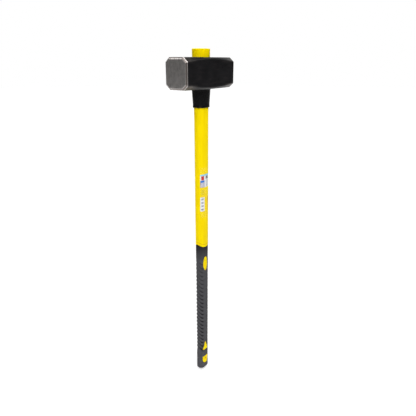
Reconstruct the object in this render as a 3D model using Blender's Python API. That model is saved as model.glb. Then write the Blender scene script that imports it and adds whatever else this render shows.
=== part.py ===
"""A long-handled sledgehammer: steel head, glass-fibre core, moulded jacket, collar, rubber grip and label.

Units are metres. +Z runs along the handle from the butt to the head, and the origin is the middle of the butt's
lowest plane. X is the striking axis and the long axis of the oval handle. The labelled side faces -Y.
"""

import math

import bmesh
import bpy

# Overall sizes.
TOTAL_LENGTH = 0.910
STUB_HEIGHT = 0.0185
GAP = 0.0003
SEGMENTS = 48
OVALNESS = 2.4
SHARP_ANGLE = math.radians(28)

# The steel head.
HEAD_LENGTH = 0.171
HEAD_WIDTH = 0.0665
HEAD_HEIGHT = 0.069
FACE_BEVEL = 0.004
CHAMFER_END = 0.0100
CHAMFER_MIDDLE = 0.0036
CHAMFER_SLANT = 1.18
BEVEL_TURN = 0.4
HEAD_STATIONS = 6
EYE_CLEARANCE = 0.0016
EYE_MOUTH = 0.0012

# The handle's oval sections, as half sizes along X and Y.
STUB_TOP = (0.0226, 0.0174)
EYE_TOP = (0.0223, 0.0172)
EYE_BOTTOM = (0.0200, 0.0145)
SHAFT_TOP = (0.0197, 0.0138)
SHAFT_NECK = (0.0193, 0.0135)
SHAFT_END = (0.0188, 0.0132)
GRIP_TOP = (0.0184, 0.0129)
GRIP_SHOULDER = (0.0181, 0.0124)
GRIP_WAIST = (0.0177, 0.0121)
GRIP_NECK = (0.0175, 0.0119)
BUTT_SWELL = (0.0184, 0.0126)
COLLAR_TOP = (0.0245, 0.0185)
COLLAR_BOTTOM = (0.0219, 0.0166)
CORE = (0.0110, 0.0066)

# Heights along the handle.
COLLAR_END = 0.7794
SHAFT_NECK_HEIGHT = 0.750
TONGUE_SIDE = 0.4218
TONGUE_TIP = 0.4140
RIB_TOP = 0.3725
RIB_PITCH = 0.0124
RIB_COUNT = 23
WAIST_HEIGHT = 0.282
NECK_HEIGHT = 0.096
BUTT_HEIGHT = 0.064
BUTT_ROUNDING = 0.0102
BUTT_DOME = 1.2
BUTT_FLAT = 0.10
BUTT_STEPS = 7
BUTT_WALL = 0.0120
CORE_TOP = 0.898
CORE_BOTTOM = 0.0140

# The rubber grip.
GRIP_WALL = 0.0026
RIB_DEPTH = 0.0006
RIB_RISE = 0.0005
RIB_DROP = 0.012
RIB_EARLINESS = 0.65
RIB_DROP_ANGLE = math.radians(72)
RIB_FADE_ANGLE = math.radians(78)
RIB_FADE_SPREAD = math.radians(25)
ISLAND_PROUD = 0.0002
ISLAND_ROOT = 0.0075

# The windows in the grip: middle height, half height and half width of each.
OVAL_WINDOW = (0.3630, 0.0213, 0.0079)
SHIELD_WINDOW = (0.0880, 0.0137, 0.0100)
BUTT_WINDOW = (0.0376, 0.0121, 0.0105)
LENS_POINT = 1.15
SHIELD_POINT = 1.12
SHIELD_CORNER = 0.0026
BUTT_ARC = 1.3
BUTT_SQUARENESS = 0.65
DIMPLE_HEIGHT = 0.0412
DIMPLE_RADIUS = 0.0024
DIMPLE_DEPTH = 0.0008

# The label.
LABEL_TOP = 0.634
LABEL_BOTTOM = 0.500
LABEL_THICKNESS = 0.0002
LABEL_REACH = math.radians(52.5)

# Worked out from the sizes above.
HEAD_TOP = TOTAL_LENGTH - STUB_HEIGHT
HEAD_BOTTOM = HEAD_TOP - HEAD_HEIGHT
HEAD_MIDDLE = HEAD_TOP - HEAD_HEIGHT / 2
RIB_BOTTOM = RIB_TOP - RIB_COUNT * RIB_PITCH

MATERIALS = {
    "forged_steel": ((0.030, 0.029, 0.031, 1), 0.45, 0.6),
    "potting_resin": ((0.42, 0.30, 0.14, 1), 0.35, 0.0),
    "glass_fibre": ((0.62, 0.60, 0.48, 1), 0.55, 0.0),
    "yellow_plastic": ((0.90, 0.72, 0.002, 1), 0.42, 0.0),
    "black_plastic": ((0.010, 0.010, 0.011, 1), 0.35, 0.0),
    "grip_rubber": ((0.060, 0.060, 0.066, 1), 0.65, 0.0),
    "label_film": ((0.80, 0.82, 0.84, 1), 0.30, 0.0),
}


def between(start, end, share):
    """The section that lies share of the way from start to end."""
    return tuple(a + (b - a) * share for a, b in zip(start, end))


def section_at(profile, height):
    """The half sizes of a handle profile, a list of (height, section) from top to bottom, at one height."""
    for (upper, wide), (lower, narrow) in zip(profile, profile[1:]):
        if height >= lower:
            return between(narrow, wide, (height - lower) / (upper - lower))
    return profile[-1][1]


def grown(section, amount):
    """A section made larger all round, or smaller if amount is negative."""
    return tuple(half + amount for half in section)


def oval_point(section, angle):
    """The point of a superellipse at one angle, measured from +X."""
    along = math.copysign(abs(math.cos(angle)) ** (2 / OVALNESS), math.cos(angle))
    across = math.copysign(abs(math.sin(angle)) ** (2 / OVALNESS), math.sin(angle))
    return section[0] * along, section[1] * across


def oval_ring(section, height):
    """A closed ring of points, where height is a number or a function of the angle."""
    ring = []
    for step in range(SEGMENTS):
        angle = 2 * math.pi * step / SEGMENTS
        x, y = oval_point(section, angle)
        ring.append((x, y, height(angle) if callable(height) else height))
    return ring


def material(name):
    """The Principled material of that name."""
    if name in bpy.data.materials:
        return bpy.data.materials[name]
    colour, roughness, metallic = MATERIALS[name]
    made = bpy.data.materials.new(name)
    made.use_nodes = True
    shader = made.node_tree.nodes["Principled BSDF"]
    shader.inputs["Base Color"].default_value = colour
    shader.inputs["Roughness"].default_value = roughness
    shader.inputs["Metallic"].default_value = metallic
    made.diffuse_color = colour
    return made


def loft(name, rings, material_name, joined=False):
    """A solid whose skin runs from each ring to the next.

    A joined loft runs from the last ring back to the first, as a tube's skin does. Any other is capped at its ends.
    """
    build = bmesh.new()
    loops = [[build.verts.new(point) for point in ring] for ring in rings]
    pairs = list(zip(loops, loops[1:]))
    if joined:
        pairs.append((loops[-1], loops[0]))
    else:
        build.faces.new(loops[0])
        build.faces.new(loops[-1])
    for first, second in pairs:
        for index in range(len(first)):
            after = (index + 1) % len(first)
            build.faces.new((first[index], first[after], second[after], second[index]))
    bmesh.ops.recalc_face_normals(build, faces=build.faces)
    mesh = bpy.data.meshes.new(name)
    build.to_mesh(mesh)
    build.free()
    mesh.shade_smooth()
    mesh.set_sharp_from_angle(angle=SHARP_ANGLE)
    made = bpy.data.objects.new(name, mesh)
    made.data.materials.append(material(material_name))
    bpy.context.collection.objects.link(made)
    return made


def boolean(target, tool, operation):
    """Adds a Boolean to target and makes its tool a helper that isn't part of the object."""
    modifier = target.modifiers.new(f"{operation.lower()}_{tool.name}", "BOOLEAN")
    modifier.operation = operation
    modifier.object = tool
    tool.hide_render = True
    tool.display_type = "WIRE"


def jacket_profile():
    """The jacket's outer sections from the stub down to the tongue."""
    return [
        (TOTAL_LENGTH, STUB_TOP),
        (HEAD_TOP, EYE_TOP),
        (HEAD_BOTTOM, EYE_BOTTOM),
        (COLLAR_END, SHAFT_TOP),
        (SHAFT_NECK_HEIGHT, SHAFT_NECK),
        (TONGUE_TIP, SHAFT_END),
    ]


def grip_profile():
    """The grip's outer sections from the tongue down to the butt."""
    return [
        (TONGUE_SIDE, GRIP_TOP),
        (RIB_TOP, GRIP_SHOULDER),
        (WAIST_HEIGHT, GRIP_WAIST),
        (NECK_HEIGHT, GRIP_NECK),
        (BUTT_HEIGHT, between(GRIP_NECK, BUTT_SWELL, 0.8)),
        (BUTT_ROUNDING, BUTT_SWELL),
    ]


def tongue_height(angle, clearance=0.0):
    """The line where the jacket ends and the grip begins: low on the two flat sides, high on the two edges."""
    middle = (TONGUE_SIDE + TONGUE_TIP) / 2
    swing = (TONGUE_SIDE - TONGUE_TIP) / 2
    return middle + swing * math.cos(2 * angle) - clearance


def angle_from_edge(angle):
    """How far round from the nearer narrow edge of the handle a direction lies, from 0 to a quarter turn."""
    return math.asin(min(1.0, abs(math.sin(angle))))


def rib_drop(angle):
    """How far a rib has run down the grip by the time it reaches this direction."""
    share = min(1.0, angle_from_edge(angle) / RIB_DROP_ANGLE)
    return RIB_DROP * (share * share * (3 - 2 * share)) ** RIB_EARLINESS


def rib_strength(angle):
    """How deep the grooves are in this direction: full at the edges and none on the smooth middle band."""
    share = min(1.0, max(0.0, (RIB_FADE_ANGLE - angle_from_edge(angle)) / RIB_FADE_SPREAD))
    return share * share * (3 - 2 * share)


def rib_ring(height, depth):
    """One ring of the ribbed grip, along a groove of that depth or, if it is negative, along a rib's crest."""
    ring = []
    section = section_at(grip_profile(), height)
    for step in range(SEGMENTS):
        angle = 2 * math.pi * step / SEGMENTS
        x, y = oval_point(grown(section, -depth * rib_strength(angle)), angle)
        ring.append((x, y, height - rib_drop(angle)))
    return ring


def butt_rings(amount):
    """The domed lower end of the grip, moved in or out by amount.

    Its profile is a superellipse from a small flat at the bottom to the full section.
    """
    rings = []
    for step in range(BUTT_STEPS + 1):
        turn = math.pi / 2 * step / BUTT_STEPS
        scale = BUTT_FLAT + (1 - BUTT_FLAT) * math.sin(turn) ** (2 / BUTT_DOME)
        share = 1 - max(0.0, math.cos(turn)) ** (2 / BUTT_DOME)
        section = (BUTT_SWELL[0] * scale + amount, BUTT_SWELL[1] * scale + amount)
        rings.append(oval_ring(section, BUTT_ROUNDING * share))
    return rings


def grip_outer_rings():
    """The grip's outside from the butt up to the tongue, with its ribs."""
    rings = butt_rings(0.0)
    for height in (BUTT_HEIGHT / 2, BUTT_HEIGHT, RIB_BOTTOM - RIB_PITCH - RIB_DROP / 2):
        rings.append(oval_ring(section_at(grip_profile(), height), height))
    for half_step in range(2 * RIB_COUNT + 1):
        height = RIB_BOTTOM + RIB_PITCH * half_step / 2
        rings.append(rib_ring(height, RIB_DEPTH if half_step % 2 == 0 else -RIB_RISE))
    rings.append(rib_ring(RIB_TOP + RIB_PITCH / 2, 0.0))
    rings.append(oval_ring(GRIP_TOP, lambda angle: tongue_height(angle, GAP)))
    return rings


def jacket_lower_section(height):
    """The jacket's section where the grip covers it."""
    return grown(section_at(grip_profile(), height), -GRIP_WALL)


def lower_heights():
    """Heights, top to bottom, at which the covered part of the jacket changes its taper."""
    heights = [height for height, section in grip_profile()]
    return heights[1:-2] + [BUTT_WALL]


def make_head():
    """The forged head: an octagonal bar whose chamfers widen towards its ends, with a bevel round each face."""
    rings = []
    full_reach = HEAD_LENGTH / 2 - FACE_BEVEL
    rings.append(head_ring(-HEAD_LENGTH / 2, FACE_BEVEL))
    for station in range(-HEAD_STATIONS, HEAD_STATIONS + 1):
        rings.append(head_ring(full_reach * station / HEAD_STATIONS, 0.0))
    rings.append(head_ring(HEAD_LENGTH / 2, FACE_BEVEL))
    head = loft("hammer_head", rings, "forged_steel")
    boolean(head, make_eye_cutter(), "DIFFERENCE")


def head_ring(x, inset):
    """The head's eight corners at one place along it, set in by a distance where the face is bevelled."""
    share = min(1.0, abs(x) / (HEAD_LENGTH / 2 - FACE_BEVEL))
    chamfer = CHAMFER_MIDDLE + (CHAMFER_END - CHAMFER_MIDDLE) * share * share
    half_width = HEAD_WIDTH / 2 - inset
    half_height = HEAD_HEIGHT / 2 - inset
    flat_y = half_width - chamfer * CHAMFER_SLANT + inset * BEVEL_TURN
    flat_z = half_height - chamfer + inset * BEVEL_TURN
    corners = []
    for side_y, side_z, order in ((1, 1, 1), (-1, 1, -1), (-1, -1, 1), (1, -1, -1)):
        pair = [(side_y * half_width, side_z * flat_z), (side_y * flat_y, side_z * half_height)]
        corners += pair[::order]
    return [(x, y, HEAD_MIDDLE + z) for y, z in corners]


def make_eye_cutter():
    """The tapered oval eye, a little wider at each mouth."""
    below = grown(EYE_BOTTOM, EYE_CLEARANCE)
    above = grown(EYE_TOP, EYE_CLEARANCE)
    rings = [
        oval_ring(grown(below, 2 * EYE_MOUTH), HEAD_BOTTOM - EYE_MOUTH),
        oval_ring(below, HEAD_BOTTOM + EYE_MOUTH),
        oval_ring(above, HEAD_TOP - EYE_MOUTH),
        oval_ring(grown(above, 2 * EYE_MOUTH), HEAD_TOP + EYE_MOUTH),
    ]
    return loft("eye_cutter", rings, "forged_steel")


def make_resin():
    """The thin layer of resin between the jacket and the eye."""
    low = HEAD_BOTTOM + 2 * EYE_MOUTH
    high = HEAD_TOP - 2 * EYE_MOUTH
    inner_low = grown(section_at(jacket_profile(), low), GAP)
    inner_high = grown(section_at(jacket_profile(), high), GAP)
    thickness = EYE_CLEARANCE - 2 * GAP
    rings = [
        oval_ring(grown(inner_low, thickness), low),
        oval_ring(grown(inner_high, thickness), high),
        oval_ring(inner_high, high),
        oval_ring(inner_low, low),
    ]
    loft("eye_resin", rings, "potting_resin", joined=True)


def make_core():
    """The glass-fibre rod inside the jacket."""
    rings = [oval_ring(CORE, CORE_BOTTOM), oval_ring(CORE, CORE_TOP)]
    loft("handle_core", rings, "glass_fibre")


def make_jacket():
    """The yellow jacket: a cup open at the butt, holding the core, with islands that fill the grip's windows."""
    top_edge = 0.0012
    rings = [oval_ring(grown(STUB_TOP, -top_edge), TOTAL_LENGTH)]
    rings.append(oval_ring(STUB_TOP, TOTAL_LENGTH - top_edge))
    for height, section in jacket_profile()[1:-1]:
        rings.append(oval_ring(section, height))
    rings.append(oval_ring(SHAFT_END, tongue_height))
    rings.append(oval_ring(jacket_lower_section(TONGUE_TIP), tongue_height))
    for height in lower_heights():
        rings.append(oval_ring(jacket_lower_section(height), height))
    bore = grown(CORE, GAP)
    rings.append(oval_ring(bore, BUTT_WALL))
    rings.append(oval_ring(bore, CORE_TOP + GAP))
    jacket = loft("handle_jacket", rings, "yellow_plastic")
    for side, side_name in ((-1, "front"), (1, "back")):
        for window_name, outline in window_outlines().items():
            island = prism(f"island_{window_name}_{side_name}", outline, side, 0.0)
            boolean(island, make_envelope(f"envelope_{window_name}_{side_name}"), "INTERSECT")
            boolean(jacket, island, "UNION")
        boolean(jacket, make_dimple(f"dimple_{side_name}", side), "DIFFERENCE")


def make_envelope(name):
    """The grip's outer shape without ribs, which trims the islands."""
    rings = butt_rings(ISLAND_PROUD)
    for height, section in reversed(grip_profile()[:-1]):
        rings.append(oval_ring(grown(section, ISLAND_PROUD), height))
    return loft(name, rings, "yellow_plastic")


def make_dimple(name, side):
    """A small round pit in the island nearest the butt."""
    surface = side * (section_at(grip_profile(), DIMPLE_HEIGHT)[1] + ISLAND_PROUD)
    rings = []
    for y in (surface - side * DIMPLE_DEPTH, surface + side * DIMPLE_DEPTH):
        ring = []
        for step in range(12):
            angle = 2 * math.pi * step / 12
            ring.append((DIMPLE_RADIUS * math.cos(angle), y, DIMPLE_HEIGHT + DIMPLE_RADIUS * math.sin(angle)))
        rings.append(ring)
    return loft(name, rings, "yellow_plastic")


def window_outlines():
    """The outline of each window, as points in X and Z."""
    return {
        "oval": lens_outline(*OVAL_WINDOW),
        "shield": shield_outline(*SHIELD_WINDOW),
        "butt": butt_outline(*BUTT_WINDOW),
    }


def lens_outline(middle, half_height, half_width):
    """A long oval with slightly pointed ends."""
    points = []
    steps = 24
    for step in range(steps):
        angle = 2 * math.pi * step / steps
        z = half_height * math.sin(angle)
        x = half_width * math.copysign(abs(math.cos(angle)) ** LENS_POINT, math.cos(angle))
        points.append((x, middle + z))
    return points


def rounded(corners, radius):
    """A polygon's outline with each corner rounded by a short arc."""
    points = []
    for index, corner in enumerate(corners):
        before = corners[index - 1]
        after = corners[(index + 1) % len(corners)]
        start = stepped(corner, before, radius)
        end = stepped(corner, after, radius)
        for share in (0.0, 0.33, 0.67, 1.0):
            pull = (1 - share) ** 2, 2 * share * (1 - share), share**2
            points.append(tuple(pull[0] * a + pull[1] * b + pull[2] * c for a, b, c in zip(start, corner, end)))
    return points


def stepped(origin, towards, distance):
    """The point a distance from origin on the line towards another point."""
    reach = math.dist(origin, towards)
    return tuple(a + (b - a) * distance / reach for a, b in zip(origin, towards))


def shield_outline(middle, half_height, half_width):
    """A tall triangle with its point up."""
    foot = middle - half_height
    corners = [(-half_width, foot), (half_width, foot), (0.0, middle + half_height * SHIELD_POINT)]
    return rounded(corners, SHIELD_CORNER)


def butt_outline(middle, half_height, half_width):
    """A shape with a flat top and a round lower end."""
    points = [(half_width, middle + half_height), (-half_width, middle + half_height)]
    steps = 14
    for step in range(steps + 1):
        angle = math.pi + math.pi * step / steps
        x = half_width * math.copysign(abs(math.cos(angle)) ** BUTT_SQUARENESS, math.cos(angle))
        points.append((x, middle + half_height * (BUTT_ARC - 1 + BUTT_ARC * math.sin(angle))))
    return points


def prism(name, outline, side, growth):
    """A window's outline drawn outwards along Y from inside the jacket's wall, on the front or the back."""
    middle_z = (min(z for x, z in outline) + max(z for x, z in outline)) / 2
    half_x = max(x for x, z in outline)
    half_z = max(z for x, z in outline) - middle_z
    rings = []
    for y in (ISLAND_ROOT - growth, 2 * ISLAND_ROOT):
        ring = []
        for x, z in outline:
            wide = x * (1 + growth / half_x)
            high = middle_z + (z - middle_z) * (1 + growth / half_z)
            ring.append((wide, side * y, high))
        rings.append(ring)
    return loft(name, rings, "yellow_plastic")


def make_collar():
    """The tapered sleeve under the head, with a small rounded lip at its lower edge."""
    top = HEAD_BOTTOM - GAP
    lip = 0.0008
    hollow = 0.0002
    middle = between(COLLAR_BOTTOM, COLLAR_TOP, 0.5)
    rings = [
        oval_ring(grown(COLLAR_BOTTOM, -lip), COLLAR_END),
        oval_ring(grown(COLLAR_BOTTOM, 0.0), COLLAR_END + lip),
        oval_ring(grown(COLLAR_BOTTOM, 0.0), COLLAR_END + 3 * lip),
        oval_ring(grown(middle, -hollow), (COLLAR_END + top) / 2),
        oval_ring(COLLAR_TOP, top),
    ]
    for height in (top, COLLAR_END):
        rings.append(oval_ring(grown(section_at(jacket_profile(), height), GAP), height))
    loft("eye_collar", rings, "black_plastic", joined=True)


def make_grip():
    """The rubber grip: a ribbed cup over the jacket's lower end, with a window for each island."""
    rings = grip_outer_rings()
    bore_top = grown(jacket_lower_section(TONGUE_TIP), GAP)
    rings.append(oval_ring(bore_top, lambda angle: tongue_height(angle, GAP)))
    for height in lower_heights()[:-1]:
        rings.append(oval_ring(grown(jacket_lower_section(height), GAP), height))
    rings.append(oval_ring(grown(jacket_lower_section(BUTT_WALL), GAP), BUTT_WALL - GAP))
    grip = loft("grip_sleeve", rings, "grip_rubber")
    for side, side_name in ((-1, "front"), (1, "back")):
        for window_name, outline in window_outlines().items():
            boolean(grip, prism(f"window_{window_name}_{side_name}", outline, side, GAP), "DIFFERENCE")


def make_label():
    """A thin film that wraps the shaft's -Y side."""
    rings = []
    steps = 14
    for height in (LABEL_BOTTOM, LABEL_TOP):
        section = section_at(jacket_profile(), height)
        inner = []
        outer = []
        for step in range(steps + 1):
            angle = -math.pi / 2 + LABEL_REACH * (2 * step / steps - 1)
            inner.append((*oval_point(grown(section, GAP), angle), height))
            outer.append((*oval_point(grown(section, GAP + LABEL_THICKNESS), angle), height))
        rings.append(outer + inner[::-1])
    loft("product_label", rings, "label_film")


def clear_scene():
    """Removes every object that is in the scene."""
    for item in list(bpy.data.objects):
        bpy.data.objects.remove(item, do_unlink=True)


clear_scene()
make_head()
make_resin()
make_core()
make_jacket()
make_collar()
make_grip()
make_label()
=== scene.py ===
"""Looks of the long-handled sledgehammer: detailed pieces, materials, stage and camera.

Units are metres, in the frame's axes: +Z up the handle, X from face to face, the labelled side faces -Y.
"""

import math

import bmesh
import bpy
import numpy as np
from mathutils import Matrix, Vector, noise


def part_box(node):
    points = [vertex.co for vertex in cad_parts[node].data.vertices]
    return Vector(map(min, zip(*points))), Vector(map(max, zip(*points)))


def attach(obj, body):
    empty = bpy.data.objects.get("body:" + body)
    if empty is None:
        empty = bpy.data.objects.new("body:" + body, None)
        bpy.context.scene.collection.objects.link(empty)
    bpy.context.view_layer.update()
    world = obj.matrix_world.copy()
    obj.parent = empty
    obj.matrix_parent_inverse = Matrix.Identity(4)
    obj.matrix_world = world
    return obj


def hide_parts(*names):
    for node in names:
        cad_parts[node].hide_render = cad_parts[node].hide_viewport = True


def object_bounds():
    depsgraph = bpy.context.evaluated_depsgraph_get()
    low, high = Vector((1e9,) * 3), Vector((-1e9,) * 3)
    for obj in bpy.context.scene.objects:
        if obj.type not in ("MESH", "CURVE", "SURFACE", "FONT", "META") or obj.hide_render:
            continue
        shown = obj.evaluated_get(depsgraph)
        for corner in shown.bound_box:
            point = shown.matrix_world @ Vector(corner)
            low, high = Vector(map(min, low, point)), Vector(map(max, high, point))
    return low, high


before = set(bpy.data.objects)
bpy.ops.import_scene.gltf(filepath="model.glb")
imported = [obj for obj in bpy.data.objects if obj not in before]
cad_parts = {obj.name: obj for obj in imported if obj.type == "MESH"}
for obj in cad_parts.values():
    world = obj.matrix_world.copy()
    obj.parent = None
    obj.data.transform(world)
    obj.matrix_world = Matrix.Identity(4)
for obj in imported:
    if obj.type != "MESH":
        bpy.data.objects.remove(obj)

CAD_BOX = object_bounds()

# Heights and lengths that the frame gives.
HEAD_LOW, HEAD_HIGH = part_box("hammer_head")
JACKET_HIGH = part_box("handle_jacket")[1]
COLLAR_LOW, COLLAR_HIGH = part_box("eye_collar")
GRIP_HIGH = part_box("grip_sleeve")[1]
LABEL_LOW, LABEL_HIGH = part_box("product_label")
RESIN_LOW, RESIN_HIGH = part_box("eye_resin")
CORE_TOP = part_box("handle_core")[1].z

GAP = 0.0003
HANDLE_TOP = JACKET_HIGH.z
HEAD_TOP = HEAD_HIGH.z
HEAD_BOTTOM = HEAD_LOW.z
HEAD_MIDDLE = (HEAD_TOP + HEAD_BOTTOM) / 2
HALF_LENGTH = HEAD_HIGH.x
HALF_WIDTH = HEAD_HIGH.y
HALF_HEIGHT = (HEAD_TOP - HEAD_BOTTOM) / 2
COLLAR_TOP_Z = COLLAR_HIGH.z
COLLAR_END = COLLAR_LOW.z

# The head's shape.
FACE_BEVEL = 0.004
BEVEL_FOOT = HALF_LENGTH - FACE_BEVEL
CHAMFER_END = 0.0100
CHAMFER_MIDDLE = 0.0036
CHAMFER_SLANT = 1.18
BEVEL_CORNER = 0.4
EDGE_RADIUS = 0.0016
SIDE_STEPS = (6, 22)
BODY_INSET = 0.0012
BODY_RINGS = 61
EYE_CLEARANCE = 0.0016
EYE_MOUTH = 0.0022

# The bevel's soft edges, as steps along X and inwards in units of SOFT_EDGE, and the crown of the faces.
SOFT_EDGE = 0.0005
SOFT_FOOT = ((-1.0, 0.0), (-0.2, 0.15), (0.5, 0.6))
SOFT_RIM = ((-0.5, -0.6), (-0.15, -0.2))
BEVEL_STEPS = 6
FACE_CROWN = 0.0003
CROWN_SHRINKS = np.linspace(0.985, 0.02, 16)

# Unevenness of the surfaces, in layers of (height, size of a lump, seed).
FORGING_LUMPS = ((0.00016, 0.026, 3.1), (0.00007, 0.0075, 8.4), (0.00003, 0.0030, 1.9))
BEVEL_LUMPS = ((0.00010, 0.009, 5.2),)
JACKET_LUMPS = ((0.00005, 0.035, 2.2),)
GRIP_LUMPS = ((0.00005, 0.02, 6.6),)
SEED_WAY = (1.0, 0.7, -1.3)
FORGING_FADE = 0.004
BEVEL_WEAR = 0.00005
UNEVEN_BEVEL = HALF_LENGTH - FACE_BEVEL * 1.5
UNEVEN_FADE = 0.001
TINY = 1e-9

# Where the head's paint is worn along the edges, and where it is paler and warmer on the chamfers next to
# the striking faces.
EDGE_WEAR = 0.0011
PALE_PATCH_LENGTH = 0.040
PALE_PATCH_FROM = HALF_HEIGHT * 0.66
PALE_PATCH_SPREAD = 0.004
PALE_PATCH_TOP = 0.3
PAINT_CREEP = 0.0003

# The handle's oval sections, as half sizes along X and Y.
OVALNESS = 2.4
STUB_TOP = (0.0226, 0.0174)
EYE_TOP = (0.0223, 0.0172)
EYE_BOTTOM = (0.0200, 0.0145)
SHAFT_TOP = (0.0197, 0.0138)
SHAFT_NECK = (0.0193, 0.0135)
SHAFT_END = (0.0188, 0.0132)
GRIP_TOP = (0.0184, 0.0129)
GRIP_SHOULDER = (0.0181, 0.0124)
GRIP_WAIST = (0.0177, 0.0121)
GRIP_NECK = (0.0175, 0.0119)
BUTT_SWELL = (0.0184, 0.0126)
COLLAR_TOP = (0.0245, 0.0185)
COLLAR_BOTTOM = (0.0219, 0.0166)
CORE = (0.0110, 0.0066)

# Heights along the handle.
SHAFT_NECK_HEIGHT = 0.750
TONGUE_SIDE = GRIP_HIGH.z + GAP
TONGUE_TIP = TONGUE_SIDE - 0.0078
TONGUE_MIDDLE = (TONGUE_SIDE + TONGUE_TIP) / 2
TONGUE_SWING = (TONGUE_SIDE - TONGUE_TIP) / 2
RIB_TOP = 0.3725
RIB_PITCH = 0.0124
RIB_COUNT = 23
RIB_BOTTOM = RIB_TOP - RIB_COUNT * RIB_PITCH
WAIST_HEIGHT = 0.282
NECK_HEIGHT = 0.096
BUTT_HEIGHT = 0.064
BUTT_ROUNDING = 0.0102
BUTT_DOME = 1.2
BUTT_FLAT = 0.10
BUTT_HOLLOW = 0.0002
BUTT_STEPS = 18
BUTT_WALL = 0.0120

# The potting resin's top: its hollow, how high it creeps, and its waver.
RESIN_HOLLOW = 0.0011
RESIN_CREEP = 0.0007
RESIN_WAVER = 0.00025
RESIN_WAVES = 5

# The stub's top: a dish, a rim given as (inset, drop), and a rounded edge.
STUB_DISH = 0.0004
STUB_SHRINKS = (0.06, 0.2, 0.4, 0.6, 0.74, 0.80)
STUB_RIM = ((-0.0034, 0.0001), (-0.0028, 0.0))
STUB_RADIUS = 0.0016

# The tongue: a raised rim with a fine groove above it, as heights over its edge, and its rounded end.
TONGUE_RUN = 0.030
TONGUE_RIM = 0.0068
TONGUE_BEND = TONGUE_RIM + 0.0028
TONGUE_STEPS = [*np.linspace(0.028, TONGUE_RIM + 0.0038, 9)]
TONGUE_STEPS += [TONGUE_RIM + share * 0.0004 for share in (7, 5, 4, 3, 2, 1, 0, -1, -2, -4)]
TONGUE_STEPS += [0.0044, 0.0030, 0.0018, 0.0009, 0.0004, 0.00012]
RIM_RISE = 0.00022
RIM_SPREAD = 0.0010
RIM_OVERHANG = 0.0006
LINE_HEIGHT = 0.0010
LINE_WIDTH = 0.0006
LINE_DEPTH = 0.00022
TONGUE_ROUND = 0.0006
TONGUE_FALL = 0.0005

# Mould seams on the narrow edges: how far round the extra points stand, then width, rise and least X.
SEAM_REACH = 0.006
JACKET_SEAM = (0.00022, 0.00010, 0.0145)
COLLAR_SEAM = (0.00022, 0.00010, COLLAR_BOTTOM[0] - 0.001)
GRIP_SEAM = (0.00025, 0.00012, 0.0145)

# The collar: lip and rim as (height from the end, growth), the slight waist between, and the dots below.
COLLAR_RADIUS = 0.0009
COLLAR_LIP = ((0.0030, 0.0), (0.0036, -0.00005), (0.0040, -0.0003), (0.0046, -0.00042), (0.0056, -0.0004))
COLLAR_RIM = ((-0.0024, -0.0001), (-0.0018, 0.0), (-0.0006, 0.0), (0.0, -0.0005))
COLLAR_WAIST = (0.0004, 0.0002)
PIP_HEIGHT = COLLAR_END - 0.0085
PIP_PLACES = (-0.0168, -0.0148)
PIP_RADII = (0.0006, 0.0003, 0.0006)
BALL_STEPS = 24
BALL_TILTS = np.linspace(-math.pi / 2 + 0.15, math.pi / 2 - 0.15, 12)

# The rubber grip.
GRIP_WALL = 0.0026
GRIP_EDGE = 0.0008
GROOVE_DEPTH = 0.0010
RIB_RISE = 0.0005
RIB_DROP = 0.012
RIB_EARLINESS = 0.65
RIB_DROP_ANGLE = math.radians(72)
RIB_FULL_RATE = 1.4
RIB_FADE_ANGLE = math.radians(78)
RIB_FADE_SPREAD = math.radians(16)
RIB_EDGE_SHARE = 0.5
RIB_TOP_FADE = 0.45
RIB_FADE_HEIGHT = 0.20
RIB_FADE_REACH = 0.16
RIB_FLOOR = 0.13
RIB_WALL = 0.15
RIB_FLATNESS = 0.86
RIB_HALF = (0.0, 0.07, 0.13, 0.17, 0.21, 0.25, 0.29, 0.39, 0.5)
RIB_SHARES = (*RIB_HALF, 0.61, 0.71, 0.75, 0.79, 0.83, 0.87, 0.93)

# The windows in the grip: middle height, half height and half width of each.
OVAL_WINDOW = (0.3630, 0.0213, 0.0079)
SHIELD_WINDOW = (0.0880, 0.0137, 0.0100)
BUTT_WINDOW = (0.0376, 0.0121, 0.0105)
LENS_POINT = 1.15
SHIELD_POINT = 1.12
SHIELD_CORNER = 0.0026
BUTT_ARC = 1.3
BUTT_SQUARENESS = 0.65
BUTT_CORNER = 0.0022
BUTT_JOIN = 0.0025
WINDOW_FLARE = 0.0004
WINDOW_CLEAR = (0.0015, 0.0045)

# The islands that fill the windows, and the pit in the lowest one.
ISLAND_PROUD = 0.0002
ISLAND_ROOT = 0.0075
ISLAND_STEP = -0.0012
ISLAND_EDGE = 0.0007
ISLAND_DOME = 0.00025
ISLAND_SHRINKS = (0.9, 0.78, 0.64, 0.5, 0.36, 0.22, 0.08)
DIMPLE_HEIGHT = 0.0412
DIMPLE_RADIUS = 0.0024
DIMPLE_DEPTH = 0.0010

# Painted shade in the jacket's fine groove and in the pits.
GROOVE_SHADE = 0.55
GROOVE_SHADE_WIDTH = 0.0009
PIT_SHADE = 0.85
PIT_SHADE_REACH = 1.7

# The label: how far round it reaches, the radius of its corners, its thickness and its grid.
LABEL_REACH = math.radians(52.5)
LABEL_CORNER = 0.003
LABEL_THICKNESS = 0.00012
LABEL_STEP = 0.0005
LABEL_ENDS = (0.004, 0.0035)
LABEL_EDGE = [0.9, 0.96, 0.985, 1]
LABEL_LEFT = [-0.8, -0.7, -0.6, -0.5, -0.42, -0.34, -0.26, -0.18, -0.1]
LABEL_RIGHT = [0.0, 0.1, 0.2, 0.3, 0.42, 0.5, 0.6, 0.7, 0.8]
LABEL_COLUMNS = np.array([-edge for edge in LABEL_EDGE[::-1]] + LABEL_LEFT + LABEL_RIGHT + LABEL_EDGE)

# The camera, which looks slightly past the handle's axis and down.
CAMERA_DISTANCE = 0.97281
CAMERA_AZIMUTH = math.radians(49.0761)
CAMERA_HEIGHT = 0.88623
CAMERA_TURN = math.radians(0.9688)
CAMERA_PITCH = math.radians(20.5378)
CAMERA_LENS = 34.27
CAMERA_ROLL = 0.0011
CAMERA_CLIP = (0.01, 60)

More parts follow.
